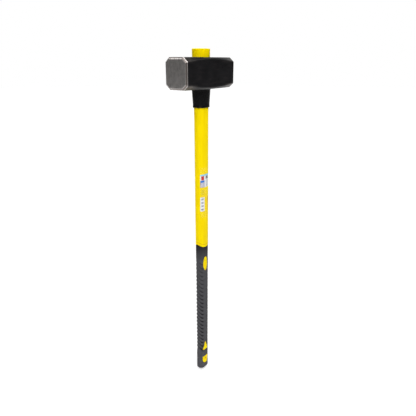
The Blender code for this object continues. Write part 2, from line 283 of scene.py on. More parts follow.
# The studio: cosines of where the white wall behind starts and is full, and how bright the stage is.
WALL_START = math.cos(math.radians(48))
WALL_FULL = math.cos(math.radians(33))
LIT_FLOOR = 0.16
DIM_FLOOR = 0.05
DIM_ROOM = 0.05
FLOOR_RADIUS = 14
FLOOR_DROP = 0.0002

# Colours, as linear red, green and blue.
WHITE = (1, 1, 1)
STEEL_DARK = (0.305, 0.288, 0.280)
STEEL_LIGHT = (0.585, 0.562, 0.545)
STEEL_DULL = (0.185, 0.160, 0.150)
# The painted highlight along the rims of the ground bevels.
STEEL_PAINTED_HIGHLIGHT = (0.86, 0.82, 0.79)
PAINT_DARK = (0.0042, 0.0039, 0.0045)
PAINT_LIGHT = (0.0070, 0.0066, 0.0074)
PAINT_WORN = (0.060, 0.058, 0.060)
PAINT_SCUFFED = (0.022, 0.0185, 0.0190)
# The paler, warmer tone of the chamfers next to the striking faces.
PAINT_PALE_WARM = (0.120, 0.105, 0.095)
RESIN_DARK = (0.30, 0.19, 0.060)
RESIN_LIGHT = (0.46, 0.32, 0.13)
RESIN_BUBBLE = (0.20, 0.12, 0.04)
FIBRE_DARK = (0.48, 0.45, 0.32)
FIBRE_LIGHT = (0.72, 0.70, 0.58)
YELLOW_DARK = (0.815, 0.605, 0.0004)
YELLOW_LIGHT = (0.885, 0.680, 0.0006)
YELLOW_SPECK = (0.60, 0.43, 0.010)
# Painted shade in the jacket's groove and dimples.
YELLOW_PAINTED_SHADE = (0.50, 0.22, 0.002)
BLACK_DARK = (0.0026, 0.0025, 0.0028)
BLACK_LIGHT = (0.0050, 0.0048, 0.0053)
RUBBER_DARK = (0.056, 0.0555, 0.061)
RUBBER_LIGHT = (0.077, 0.076, 0.083)
# Darker smooth rubber at the top, deepened by painted shade under the jacket's edge.
RUBBER_TOP = (0.0135, 0.0135, 0.0152)
# Painted shade in the bottoms of the grip's grooves.
RUBBER_GROOVE_SHADE = (0.015, 0.0148, 0.0165)
RUBBER_CREST = (0.070, 0.069, 0.075)
FILM_DARK = (0.86, 0.84, 0.72)
FILM_LIGHT = (0.93, 0.92, 0.86)
FLOOR_DARK = (0.80, 0.80, 0.80)
FLOOR_LIGHT = (0.83, 0.83, 0.83)
INKS = {
    "white": (0.80, 0.81, 0.83),
    "sky": (0.24, 0.60, 0.80),
    "blue": (0.010, 0.17, 0.60),
    "red": (0.52, 0.014, 0.014),
    "grey": (0.13, 0.135, 0.15),
    "lilac": (0.36, 0.34, 0.44),
    "faint": (0.58, 0.47, 0.020),
}


# Shapes that the pieces share.

def between(start, end, share):
    """The section that lies share of the way from start to end."""
    return tuple(a + (b - a) * share for a, b in zip(start, end))


def section_at(profile, height):
    """The section at one height of a profile, which lists (height, section) from top to bottom."""
    for (upper, wide), (lower, narrow) in zip(profile, profile[1:]):
        if height >= lower:
            return between(narrow, wide, (height - lower) / (upper - lower))
    return profile[-1][1]


def grown(section, amount):
    """A section made larger all round, or smaller if amount is negative."""
    return tuple(half + amount for half in section)


def scaled(section, share):
    """A section shrunk towards its middle."""
    return tuple(half * share for half in section)


def quarter_round(steps):
    """Pairs (1 - cosine, 1 - sine) at even steps, which round an edge of radius 1."""
    turns = [math.pi / 2 * step / steps for step in range(steps + 1)]
    return [(1 - math.cos(turn), 1 - math.sin(turn)) for turn in turns]


def level(profile, heights, growth=0.0):
    """Stations that follow a handle profile."""
    return [(grown(section_at(profile, height), growth), height) for height in heights]


def unit_rows(vectors):
    """Each row divided by its length."""
    return vectors / np.maximum(np.linalg.norm(vectors, axis=1), TINY)[:, None]


def smooth(share):
    """A soft step from 0 to 1, for numbers or arrays."""
    share = np.clip(share, 0.0, 1.0)
    return share * share * (3 - 2 * share)


def turned(values, power):
    """Values raised to a power with their signs kept."""
    return np.sign(values) * np.abs(values) ** power


def ring_angles(steps, seam_reach=0.0):
    """Directions round the oval, with extra ones close to the mould seams if a reach is given."""
    angles = list(2 * np.pi * np.arange(steps) / steps)
    if seam_reach:
        for edge in (0.0, np.pi):
            for share in (-1.0, -0.4, 0.4, 1.0):
                angles.append((edge + share * seam_reach) % (2 * np.pi))
    return np.array(sorted(angles))


def oval(section, angles):
    """X and Y of a superellipse in the given directions. The half sizes may be arrays too."""
    across = turned(np.cos(angles), 2 / OVALNESS)
    along = turned(np.sin(angles), 2 / OVALNESS)
    return section[0] * across, section[1] * along


def oval_ring(section, height, angles):
    """A ring of points, whose height is a number or one number for each direction."""
    x, y = oval(section, angles)
    return np.column_stack([x, y, np.zeros(len(angles)) + height])


def from_edge(angles):
    """The angle of each direction from the nearer narrow edge of the handle, up to a quarter turn."""
    return np.arcsin(np.clip(np.abs(np.sin(angles)), 0, 1))


def finished(name, mesh, materials, sharp=30):
    """Makes an object of the mesh, smooth except across its sharp edges."""
    mesh.shade_smooth()
    mesh.set_sharp_from_angle(angle=math.radians(sharp))
    made = bpy.data.objects.new(name, mesh)
    for item in materials:
        mesh.materials.append(item)
    bpy.context.collection.objects.link(made)
    return made


def skin(name, rings, materials=(), joined=False, sharp=30):
    """A closed mesh of quads from ring to ring, capped at its ends or joined end to end."""
    size = len(rings[0])
    count = len(rings)
    points = np.concatenate(rings)
    here = np.arange(size)
    after = (here + 1) % size
    faces = []
    for index in range(count if joined else count - 1):
        low = index * size
        high = (index + 1) % count * size
        faces += np.column_stack([low + here, low + after, high + after, high + here]).tolist()
    if not joined:
        faces.append(here[::-1].tolist())
        faces.append(((count - 1) * size + here).tolist())
    mesh = bpy.data.meshes.new(name)
    mesh.from_pydata(points.tolist(), [], faces)
    face_outwards(mesh)
    return finished(name, mesh, materials, sharp)


def tube(name, stations, angles, materials=(), joined=False, sharp=30):
    """A skin round the handle's axis, through stations of (section, height)."""
    rings = [oval_ring(section, height, angles) for section, height in stations]
    return skin(name, rings, materials, joined, sharp)


def face_outwards(mesh):
    """Turns every face to look out of the solid."""
    build = bmesh.new()
    build.from_mesh(mesh)
    bmesh.ops.recalc_face_normals(build, faces=build.faces)
    build.to_mesh(mesh)
    build.free()


def joined_up(name, parts):
    """One object that holds the meshes of several, which are removed."""
    build = bmesh.new()
    for part in parts:
        build.from_mesh(part.data)
    mesh = bpy.data.meshes.new(name)
    build.to_mesh(mesh)
    build.free()
    for part in parts:
        bpy.data.objects.remove(part, do_unlink=True)
    return finished(name, mesh, [])


def carve(target, tool, operation, sharp=30):
    """Applies a Boolean to target and removes the tool."""
    modifier = target.modifiers.new("carve", "BOOLEAN")
    modifier.operation = operation
    modifier.object = tool
    modifier.solver = "EXACT"
    graph = bpy.context.evaluated_depsgraph_get()
    mesh = bpy.data.meshes.new_from_object(target.evaluated_get(graph))
    target.modifiers.clear()
    target.data = mesh
    bpy.data.objects.remove(tool, do_unlink=True)
    mesh.shade_smooth()
    mesh.set_sharp_from_angle(angle=math.radians(sharp))


def points_of(piece):
    """The piece's vertices as an array."""
    points = np.empty(len(piece.data.vertices) * 3)
    piece.data.vertices.foreach_get("co", points)
    return points.reshape(-1, 3)


def set_points(piece, points):
    """Moves the piece's vertices."""
    piece.data.vertices.foreach_set("co", points.ravel())
    piece.data.update()


def set_shade(piece, name, values):
    """Stores one number for each vertex, which a material reads by its name."""
    layer = piece.data.attributes.new(name, "FLOAT", "POINT")
    layer.data.foreach_set("value", np.asarray(values, dtype=np.float32))


def rumple(points, layers):
    """Smooth noise at each point, as the sum of its layers."""
    total = np.zeros(len(points))
    for height, size, seed in layers:
        shift = Vector([seed * part for part in SEED_WAY])
        total += height * np.array([noise.noise(Vector(point) / size + shift) for point in points])
    return total


def register(piece, node):
    """Hides the CAD part that the piece stands for. All ride on the one body."""
    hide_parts(node)
    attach(piece, "root")


# The handle's outer profiles.

def jacket_profile():
    """The jacket's outer sections from the stub down to the tongue."""
    return [
        (HANDLE_TOP, STUB_TOP),
        (HEAD_TOP, EYE_TOP),
        (HEAD_BOTTOM, EYE_BOTTOM),
        (COLLAR_END, SHAFT_TOP),
        (SHAFT_NECK_HEIGHT, SHAFT_NECK),
        (TONGUE_TIP, SHAFT_END),
    ]


def grip_profile():
    """The grip's outer sections from the tongue down to the butt."""
    return [
        (TONGUE_SIDE, GRIP_TOP),
        (RIB_TOP, GRIP_SHOULDER),
        (WAIST_HEIGHT, GRIP_WAIST),
        (NECK_HEIGHT, GRIP_NECK),
        (BUTT_HEIGHT, between(GRIP_NECK, BUTT_SWELL, 0.8)),
        (BUTT_ROUNDING, BUTT_SWELL),
    ]


def tongue_height(angles):
    """The line where the jacket meets the grip: low on the two flat sides, high on the two edges."""
    return TONGUE_MIDDLE + TONGUE_SWING * np.cos(2 * angles)


def inner_section(height):
    """The jacket's section where the grip covers it."""
    return grown(section_at(grip_profile(), height), -GRIP_WALL)


def inner_heights():
    """Heights, top to bottom, at which the covered part of the jacket changes its taper."""
    return [height for height, section in grip_profile()][1:-2] + [BUTT_WALL]


def side_depth(x, height, profile):
    """How far from the middle plane a handle's flat side lies at this X."""
    wide, deep = section_at(profile, height)
    return deep * max(0.0, 1 - abs(x / wide) ** OVALNESS) ** (1 / OVALNESS)


# The head.

def chamfer_at(x):
    """The height of the head's long chamfers at one place along it."""
    share = min(1.0, abs(x) / BEVEL_FOOT)
    return CHAMFER_MIDDLE + (CHAMFER_END - CHAMFER_MIDDLE) * share * share


def head_corners(x, inset):
    """The eight corners of the head's section, set in by a distance where the face is bevelled."""
    chamfer = chamfer_at(x)
    half_width = HALF_WIDTH - inset
    half_height = HALF_HEIGHT - inset
    flat_y = half_width - chamfer * CHAMFER_SLANT + inset * BEVEL_CORNER
    flat_z = half_height - chamfer + inset * BEVEL_CORNER
    corners = []
    for side_y, side_z, order in ((1, 1, 1), (-1, 1, -1), (-1, -1, 1), (1, -1, -1)):
        pair = [(side_y * half_width, side_z * flat_z), (side_y * flat_y, side_z * half_height)]
        corners += pair[::order]
    return [np.array(corner) for corner in corners]


def rounded_outline(corners, radius, side_steps, arc_steps=4):
    """Points round a polygon with rounded corners. Its sides take the two step counts in turn."""
    outline = []
    count = len(corners)
    for index, corner in enumerate(corners):
        before = corners[index - 1]
        after = corners[(index + 1) % count]
        start = corner + (before - corner) * radius / np.linalg.norm(before - corner)
        end = corner + (after - corner) * radius / np.linalg.norm(after - corner)
        for share in np.linspace(0, 1, arc_steps + 1):
            outline.append((1 - share) ** 2 * start + 2 * share * (1 - share) * corner + share**2 * end)
        next_start = after + (corner - after) * radius / np.linalg.norm(corner - after)
        steps = side_steps[index % 2]
        for step in range(1, steps):
            outline.append(end + (next_start - end) * step / steps)
    return np.array(outline)


def head_ring(x, inset, radius, shrink=1.0):
    """One ring of points round the head."""
    outline = rounded_outline(head_corners(x, inset), radius, SIDE_STEPS) * shrink
    return np.column_stack([np.full(len(outline), x), outline[:, 0], HEAD_MIDDLE + outline[:, 1]])


def bevel_path(side):
    """Rings over the bevel and on to the middle of one striking face."""
    top = HALF_LENGTH - FACE_CROWN
    path = []
    for along, inwards in SOFT_FOOT:
        path.append((BEVEL_FOOT + SOFT_EDGE * along, SOFT_EDGE * inwards, EDGE_RADIUS))
    for step in range(1, BEVEL_STEPS):
        share = step / BEVEL_STEPS
        path.append((BEVEL_FOOT + FACE_BEVEL * share, FACE_BEVEL * share, EDGE_RADIUS * (1 - share / 2)))
    for along, inwards in SOFT_RIM:
        path.append((top + SOFT_EDGE * along, FACE_BEVEL + SOFT_EDGE * inwards, EDGE_RADIUS / 2))
    rings = [head_ring(side * x, inset, radius) for x, inset, radius in path]
    for shrink in CROWN_SHRINKS:
        x = HALF_LENGTH - FACE_CROWN * shrink**2
        rings.append(head_ring(side * x, FACE_BEVEL, EDGE_RADIUS / 2, shrink))
    return rings


def make_head(paint, steel):
    """The forged head, painted except on its ground faces and bevels."""
    reach = BEVEL_FOOT - BODY_INSET
    body = [head_ring(x, 0.0, EDGE_RADIUS) for x in np.linspace(-reach, reach, BODY_RINGS)]
    head = skin("head_forging", bevel_path(-1)[::-1] + body + bevel_path(1), [paint, steel], sharp=50)
    forge(head)
    carve(head, eye_cutter(), "DIFFERENCE", sharp=40)
    points = points_of(head)
    set_shade(head, "edge", edge_nearness(points))
    # Where the chamfers next to the faces are paler and warmer, most on the lower ones.
    set_shade(head, "pale_patches", pale_end_patches(points))
    set_shade(head, "bevel", (HALF_LENGTH - np.abs(points[:, 0])) / FACE_BEVEL)
    grind_faces(head)
    register(head, "hammer_head")


def forge(head):
    """Makes the painted surfaces slightly uneven, as forging does, and the ground bevels less so."""
    points = points_of(head)
    outward = unit_rows(points * (0, 1, 1) - (0, 0, HEAD_MIDDLE))
    painted = smooth((BEVEL_FOOT - np.abs(points[:, 0])) / FORGING_FADE)
    points += outward * (rumple(points, FORGING_LUMPS) * painted)[:, None]
    ground = (1 - painted) * smooth((np.abs(points[:, 0]) - UNEVEN_BEVEL) / UNEVEN_FADE)
    waver = rumple(points, BEVEL_LUMPS) + BEVEL_WEAR
    points[:, 0] -= np.sign(points[:, 0]) * waver * ground
    set_points(head, points)


def edge_nearness(points):
    """1 on the head's long edges, falling to 0 within a few millimetres of them."""
    chamfer = np.array([chamfer_at(x) for x in points[:, 0]])
    y = np.abs(points[:, 1])
    z = np.abs(points[:, 2] - HEAD_MIDDLE)
    to_side = np.hypot(y - HALF_WIDTH, z - (HALF_HEIGHT - chamfer))
    to_top = np.hypot(y - (HALF_WIDTH - chamfer * CHAMFER_SLANT), z - HALF_HEIGHT)
    return np.exp(-np.minimum(to_side, to_top) / EDGE_WEAR)


def pale_end_patches(points):
    """How much paler and warmer the paint is: most on the lower chamfers next to the striking faces, less
    on the upper ones.
    """
    near_face = smooth(1 - (BEVEL_FOOT - np.abs(points[:, 0])) / PALE_PATCH_LENGTH)
    height = points[:, 2] - HEAD_MIDDLE
    low = smooth((-height - PALE_PATCH_FROM) / PALE_PATCH_SPREAD)
    high = smooth((height - PALE_PATCH_FROM) / PALE_PATCH_SPREAD)
    return near_face * np.maximum(low, PALE_PATCH_TOP * high)


def grind_faces(head):
    """Gives the faces and bevels the bare steel, from the painted edge outwards."""
    for face in head.data.polygons:
        face.material_index = 1 if abs(face.center.x) > BEVEL_FOOT - PAINT_CREEP else 0


def eye_cutter():
    """The tapered oval eye with a rounded mouth at each end."""
    stations = []
    for section, face, way in ((EYE_BOTTOM, HEAD_BOTTOM, 1), (EYE_TOP, HEAD_TOP, -1)):
        section = grown(section, EYE_CLEARANCE)
        mouth = [(grown(section, EYE_MOUTH), face - way * 0.002)]
        for share in np.linspace(0, 1, 7):
            flare = EYE_MOUTH * (1 - math.sqrt(max(0.0, 1 - (1 - share) ** 2)))
            mouth.append((grown(section, flare), face + way * EYE_MOUTH * share))
        stations += mouth[::way]
    return tube("eye_cutter", stations, ring_angles(96))


# The handle.

def make_resin(resin):
    """The ring of potting resin in the eye, whose top creeps up the steel and the handle."""
    angles = ring_angles(96)
    high = RESIN_HIGH.z
    thickness = EYE_CLEARANCE - 2 * GAP
    stations = []
    for share in np.linspace(0, 1, 9):
        hollow = RESIN_HOLLOW * (1 - (2 * share - 1) ** 2)
        waver = RESIN_WAVER * np.sin(RESIN_WAVES * angles + 1.0) * (1 - share)
        section = grown(section_at(jacket_profile(), high), GAP + thickness * share)
        stations.append((section, high + RESIN_CREEP - hollow + waver))
    for growth in (GAP + thickness, GAP):
        stations += level(jacket_profile(), [RESIN_LOW.z], growth)
    piece = tube("potting_resin_ring", stations, angles, [resin], joined=True, sharp=60)
    register(piece, "eye_resin")


def stub_stations():
    """The stub's moulded end: a flat top with a shallow dish, a rounded rim, and the side."""
    stations = [(scaled(STUB_TOP, shrink), HANDLE_TOP - STUB_DISH) for shrink in STUB_SHRINKS]
    stations += [(grown(STUB_TOP, inset), HANDLE_TOP - drop) for inset, drop in STUB_RIM]
    for drop, inset in quarter_round(6):
        stations.append((grown(STUB_TOP, -STUB_RADIUS * inset), HANDLE_TOP - STUB_RADIUS * drop))
    return stations


def jacket_stations(angles):
    """The jacket from the stub to the tongue, then up the covered part and the bore for the core."""
    stub = np.linspace(HANDLE_TOP - 0.003, HEAD_TOP, 6)
    eye = np.linspace(HEAD_TOP - 0.005, COLLAR_END + 0.004, 14)
    shaft = np.linspace(COLLAR_END, TONGUE_SIDE + TONGUE_RUN, 84)
    stations = stub_stations() + level(jacket_profile(), [*stub, *eye, *shaft]) + tongue_stations(angles)
    stations.append((inner_section(TONGUE_TIP), tongue_height(angles)))
    stations += [(inner_section(height), height) for height in inner_heights()]
    return stations + [(grown(CORE, GAP), height) for height in (BUTT_WALL, CORE_TOP + GAP)]


def tongue_stations(angles):
    """The jacket's lowest stretch, bent from level to the tongue's curve, with a raised rim along it."""
    reach = TONGUE_SIDE + TONGUE_RUN - TONGUE_MIDDLE
    stations = []
    for above in TONGUE_STEPS:
        bend = 1 - smooth((above - TONGUE_BEND) / (reach - TONGUE_BEND))
        height = TONGUE_MIDDLE + above + (tongue_height(angles) - TONGUE_MIDDLE) * bend
        rise = RIM_RISE * smooth((TONGUE_RIM + RIM_OVERHANG - above) / RIM_SPREAD)
        dip = LINE_DEPTH * math.exp(-(((above - TONGUE_RIM - LINE_HEIGHT) / LINE_WIDTH) ** 2))
        fall = TONGUE_FALL * max(0.0, 1 - above / TONGUE_ROUND) ** 2
        stations.append((grown(SHAFT_END, rise - dip - fall), height))
    return stations


def add_seam(points, width, rise, least_x):
    """Raises a fine mould seam along a piece's two narrow edges, beyond an X that spares its bore."""
    near = np.exp(-((points[:, 1] / width) ** 2))
    points[:, 0] += np.sign(points[:, 0]) * rise * near * (np.abs(points[:, 0]) > least_x)


def island_rings(outline, side):
    """The skin of one island: from inside the jacket's wall up to a softly domed top."""
    rings = [surface_ring(outline, side, lift) for lift in (None, ISLAND_STEP)]
    for inset, drop in quarter_round(4):
        edge = offset(outline, -ISLAND_EDGE * inset)
        rings.append(surface_ring(edge, side, ISLAND_PROUD - ISLAND_EDGE * drop))
    centre = outline.mean(axis=0)
    inner = offset(outline, -ISLAND_EDGE)
    for shrink in ISLAND_SHRINKS:
        flat = centre + (inner - centre) * shrink
        rings.append(surface_ring(flat, side, ISLAND_PROUD + ISLAND_DOME * (1 - shrink**2)))
    return rings


def surface_ring(outline, side, lift):
    """A window's outline on the handle's flat side, raised by lift, or at the islands' root."""
    profile = grip_profile()
    ring = []
    for x, z in outline:
        depth = ISLAND_ROOT if lift is None else side_depth(x, z, profile) + lift
        ring.append((x, side * depth, z))
    return np.array(ring)


def offset(outline, growth):
    """A convex outline moved outwards along its normals."""
    after = unit_rows(np.roll(outline, -1, axis=0) - outline)
    before = unit_rows(outline - np.roll(outline, 1, axis=0))
    along = after + before
    normal = unit_rows(np.column_stack([along[:, 1], -along[:, 0]]))
    outwards = np.sign(((outline - outline.mean(axis=0)) * normal).sum())
    return outline + normal * growth * outwards


def lens_outline(middle, half_height, half_width):
    """A long oval with slightly pointed ends."""
    angles = 2 * np.pi * np.arange(56) / 56
    x = half_width * turned(np.cos(angles), LENS_POINT)
    return np.column_stack([x, middle + half_height * np.sin(angles)])


def shield_outline(middle, half_height, half_width):
    """A tall triangle with its point up and rounded corners."""
    foot = middle - half_height
    corners = [(-half_width, foot), (half_width, foot), (0.0, middle + half_height * SHIELD_POINT)]
    corners = [np.array(corner) for corner in corners]
    return rounded_outline(corners, SHIELD_CORNER, (8, 8), arc_steps=6)


def butt_outline(middle, half_height, half_width):
    """A shape with a flat top, rounded corners and a round lower end."""
    turns = math.pi + math.pi * np.arange(1, 30) / 30
    x = half_width * turned(np.cos(turns), BUTT_SQUARENESS)
    z = middle + half_height * (BUTT_ARC - 1 + BUTT_ARC * np.sin(turns))
    lower = np.column_stack([x, z])
    top = middle + half_height
    corners = [(half_width, z[-1]), (half_width, top), (-half_width, top), (-half_width, z[0])]
    upper = rounded_outline([np.array(corner) for corner in corners], BUTT_CORNER, (4, 4), arc_steps=5)
    return np.concatenate([lower, upper[upper[:, 1] > z[0] + BUTT_JOIN]])


def window_outlines():
    """The outline of each window, as points in X and Z."""
    return [lens_outline(*OVAL_WINDOW), shield_outline(*SHIELD_WINDOW), butt_outline(*BUTT_WINDOW)]


def make_jacket(plastic):
    """The yellow jacket with the islands that fill the grip's windows."""
    angles = ring_angles(112, SEAM_REACH)
    jacket = tube("jacket_moulding", jacket_stations(angles), angles, [plastic], sharp=38)
    points = points_of(jacket)
    add_seam(points, *JACKET_SEAM)
    points += outward_of(points) * rumple(points, JACKET_LUMPS)[:, None]
    set_points(jacket, points)
    islands = [
        skin("island", island_rings(outline, side)) for side in (-1, 1) for outline in window_outlines()
    ]
    carve(jacket, joined_up("islands", islands + collar_pips()), "UNION", sharp=38)
    dimples = [dimple(side) for side in (-1, 1)]
    carve(jacket, joined_up("dimples", dimples), "DIFFERENCE", sharp=38)
    # Painted shade for the groove above the tongue and the dimples.
    set_shade(jacket, "recess_shade", groove_and_pit_shade(points_of(jacket)))
    register(jacket, "handle_jacket")


def groove_and_pit_shade(points):
    """How much painted shade darkens the jacket: most along the groove above the tongue and in the dimples.
    """
    along = np.clip(np.abs(points[:, 0]) / SHAFT_END[0], 0, 1) ** OVALNESS
    above = points[:, 2] - TONGUE_MIDDLE - TONGUE_SWING * (2 * along - 1)
    groove = np.exp(-(((above - TONGUE_RIM - LINE_HEIGHT) / GROOVE_SHADE_WIDTH) ** 2))
    pit = smooth(PIT_SHADE_REACH - np.hypot(points[:, 0], points[:, 2] - DIMPLE_HEIGHT) / DIMPLE_RADIUS)
    return np.maximum(GROOVE_SHADE * groove, PIT_SHADE * pit)


def outward_of(points):
    """The level direction away from the handle's axis at each point."""
    return unit_rows(points * (1, 1, 0))


def ball(centre, radii, name):
    """A small ellipsoid of rings, used to add or cut a round detail."""
    turns = 2 * np.pi * np.arange(BALL_STEPS) / BALL_STEPS
    rings = []
    for tilt in BALL_TILTS:
        x = centre[0] + radii[0] * math.cos(tilt) * np.cos(turns)
        z = centre[2] + radii[2] * math.cos(tilt) * np.sin(turns)
        y = np.full(BALL_STEPS, centre[1] + radii[1] * math.sin(tilt))
        rings.append(np.column_stack([x, y, z]))
    return skin(name, rings)


def dimple(side):
    """The tool that presses a small round pit into the lowest island."""
    surface = side * (side_depth(0.0, DIMPLE_HEIGHT, grip_profile()) + ISLAND_PROUD)
    return ball((0.0, surface, DIMPLE_HEIGHT), (DIMPLE_RADIUS, DIMPLE_DEPTH, DIMPLE_RADIUS), "dimple")


def collar_pips():
    """Two small raised dots below the collar, near the -X edge of each flat side."""
    pips = []
    for side in (-1, 1):
        for x in PIP_PLACES:
            depth = side * side_depth(x, PIP_HEIGHT, jacket_profile())
            pips.append(ball((x, depth, PIP_HEIGHT), PIP_RADII, "pip"))
    return pips


def collar_stations():
    """The collar's outside from its lower lip up to the rim under the head, then its bore."""
    height = COLLAR_TOP_Z - COLLAR_END
    outside = [(COLLAR_RADIUS * above, -COLLAR_RADIUS * inset) for above, inset in quarter_round(5)]
    outside += COLLAR_LIP
    waist, upper = COLLAR_WAIST
    outside += [(height * share, -waist * (1 - share) - upper) for share in np.linspace(0.2, 0.9, 13)]
    outside += [(height + above, growth) for above, growth in COLLAR_RIM]
    stations = []
    for above, growth in outside:
        section = between(COLLAR_BOTTOM, COLLAR_TOP, above / height)
        stations.append((grown(section, growth), COLLAR_END + above))
    return stations + level(jacket_profile(), (COLLAR_TOP_Z, COLLAR_END), GAP)


def make_collar(plastic):
    """The glossy black sleeve under the head."""
    angles = ring_angles(112, SEAM_REACH)
    collar = tube("collar_moulding", collar_stations(), angles, [plastic], joined=True, sharp=35)
    points = points_of(collar)
    add_seam(points, *COLLAR_SEAM)
    set_points(collar, points)
    register(collar, "eye_collar")


# The grip.

def rib_drop(angles):
    """How far a rib has run down the grip by the time it reaches each direction."""
    return RIB_DROP * smooth(from_edge(angles) / RIB_DROP_ANGLE) ** RIB_EARLINESS


def rib_strength(angles):
    """How deep the grooves are: shallow on the edges, then full, and none on the middle bands."""
    round_from = from_edge(angles)
    full = smooth(round_from / RIB_DROP_ANGLE * RIB_FULL_RATE)
    fade = smooth((RIB_FADE_ANGLE - round_from) / RIB_FADE_SPREAD)
    return (RIB_EDGE_SHARE + (1 - RIB_EDGE_SHARE) * full) * fade


def rib_lift(share):
    """The grip's rise over one pitch: a groove's middle at 0 and 1, a rib's crest at 0.5."""
    reach = min(share, 1 - share)
    wall = float(smooth((reach - RIB_FLOOR) / RIB_WALL))
    crown = math.sin(math.pi * reach) ** 2
    return -GROOVE_DEPTH + (GROOVE_DEPTH + RIB_RISE) * (RIB_FLATNESS * wall + (1 - RIB_FLATNESS) * crown)


def rib_station(height, lift, angles):
    """One ring of the ribbed grip. It runs along the ribs, so it sinks towards the flat sides."""
    fade = 1 - RIB_TOP_FADE * smooth((height - RIB_FADE_HEIGHT) / RIB_FADE_REACH)
    amount = lift * rib_strength(angles) * fade
    return grown(section_at(grip_profile(), height), amount), height - rib_drop(angles)


def butt_stations():
    """The domed lower end of the grip, from a slight hollow in its small flat up to the full section."""
    flat = scaled(BUTT_SWELL, BUTT_FLAT)
    stations = [(scaled(flat, shrink), BUTT_HOLLOW * (1 - shrink**2)) for shrink in (0.15, 0.5, 0.85)]
    for step in range(BUTT_STEPS + 1):
        turn = math.pi / 2 * step / BUTT_STEPS
        scale = BUTT_FLAT + (1 - BUTT_FLAT) * math.sin(turn) ** (2 / BUTT_DOME)
        share = 1 - max(0.0, math.cos(turn)) ** (2 / BUTT_DOME)
        stations.append((scaled(BUTT_SWELL, scale), BUTT_ROUNDING * share))
    return stations


def grip_stations(angles):
    """The grip from the butt up its outside to the tongue, then down its bore."""
    profile = grip_profile()
    stations = butt_stations()
    stations += level(profile, np.linspace(BUTT_ROUNDING + 0.004, BUTT_HEIGHT, 12))
    first_rib = rib_station(RIB_BOTTOM - RIB_PITCH / 2, 0.0, angles)[1]
    for share in np.linspace(0.1, 1.0, 10):
        section = section_at(profile, BUTT_HEIGHT + (RIB_BOTTOM - BUTT_HEIGHT) * share)
        stations.append((section, BUTT_HEIGHT + (first_rib - BUTT_HEIGHT) * share))
    for rib in range(RIB_COUNT):
        for share in RIB_SHARES:
            stations.append(rib_station(RIB_BOTTOM + RIB_PITCH * (rib + share), rib_lift(share), angles))
    for share in RIB_HALF:
        fade = 1 - smooth((share - 0.3) / 0.2)
        stations.append(rib_station(RIB_TOP + RIB_PITCH * share, rib_lift(share) * fade, angles))
    stations += grip_top_stations(angles)
    stations += [(grown(inner_section(height), GAP), height) for height in inner_heights()[:-1]]
    return stations + [(grown(inner_section(BUTT_WALL), GAP), BUTT_WALL - GAP)]


def grip_top_stations(angles):
    """The smooth stretch between the last rib and the tongue, with a rounded edge against the jacket."""
    last_rib = RIB_TOP + RIB_PITCH * 0.5 - rib_drop(angles)
    edge = tongue_height(angles) - GAP
    start = edge - 2 * GRIP_EDGE
    stations = []
    for share in np.linspace(0.1, 0.9, 9):
        stations.append((between(GRIP_SHOULDER, GRIP_TOP, share), last_rib + (start - last_rib) * share))
    stations.append((GRIP_TOP, start))
    for inset, drop in quarter_round(5):
        stations.append((grown(GRIP_TOP, -GRIP_EDGE * inset), edge - GRIP_EDGE * drop))
    return stations + [(grown(inner_section(TONGUE_TIP), GAP), edge)]


def window_cutter(outline, side):
    """The tool that cuts one window through the grip, with a small flare at the outer surface."""
    rings = [surface_ring(offset(outline, GAP), side, lift) for lift in (None, -WINDOW_FLARE)]
    rings.append(surface_ring(offset(outline, GAP + WINDOW_FLARE * 0.3), side, -WINDOW_FLARE * 0.3))
    rings.append(surface_ring(offset(outline, GAP + WINDOW_FLARE), side, 0.0))
    rings += [surface_ring(offset(outline, GAP + 4 * WINDOW_FLARE), side, lift) for lift in WINDOW_CLEAR]
    return skin("window", rings)


def make_grip(rubber):
    """The ribbed rubber grip with its six windows."""
    angles = ring_angles(128, SEAM_REACH)
    grip = tube("grip_moulding", grip_stations(angles), angles, [rubber], sharp=42)
    points = points_of(grip)
    add_seam(points, *GRIP_SEAM)
    points += outward_of(points) * rumple(points, GRIP_LUMPS)[:, None]
    set_points(grip, points)
    cutters = [window_cutter(outline, side) for side in (-1, 1) for outline in window_outlines()]
    carve(grip, joined_up("windows", cutters), "DIFFERENCE", sharp=42)
    # The grooves' depth, from which the rubber takes its painted shade in them.
    set_shade(grip, "groove", groove_depth(points_of(grip)))
    register(grip, "grip_sleeve")


def groove_depth(points):
    """1 at the bottom of the grip's grooves, 0.5 on its plain surface and 0 on its crests."""
    profile = grip_profile()
    sections = np.array([section_at(profile, height) for height in points[:, 2]])
    reach = (np.abs(points[:, 0] / sections[:, 0]) ** OVALNESS
             + np.abs(points[:, 1] / sections[:, 1]) ** OVALNESS) ** (1 / OVALNESS)
    depth = (1 - reach) * np.hypot(points[:, 0], points[:, 1])
    return np.clip(0.5 + depth / (2 * GROOVE_DEPTH), 0, 1)


# The label.

def make_label(materials):
    """A thin clear film round the shaft's -Y side, printed with plain generic bands."""
    outer = []
    inner = []
    for height in label_rows():
        from_end = min(height - LABEL_LOW.z, LABEL_HIGH.z - height)
        into_corner = max(0.0, LABEL_CORNER - from_end)
        rounding = LABEL_CORNER - math.sqrt(max(0.0, LABEL_CORNER**2 - into_corner**2))
        angles = -math.pi / 2 + (LABEL_REACH - rounding / SHAFT_END[0]) * LABEL_COLUMNS
        section = section_at(jacket_profile(), height)
        outer.append(oval_ring(grown(section, GAP + LABEL_THICKNESS), height, angles))
        inner.append(oval_ring(grown(section, GAP), height, angles))
    return sheet_solid("label_film", outer, inner, materials)


def label_rows():
    """Heights of the label's grid lines: close together at its rounded ends, then evenly spaced."""
    low = LABEL_LOW.z
    high = LABEL_HIGH.z
    ends = LABEL_CORNER * (1 - np.cos(np.linspace(0, math.pi / 2, 7)))
    middle = np.arange(low + LABEL_ENDS[0], high - LABEL_ENDS[1], LABEL_STEP)
    return sorted([*(low + ends), *(high - ends), *middle])


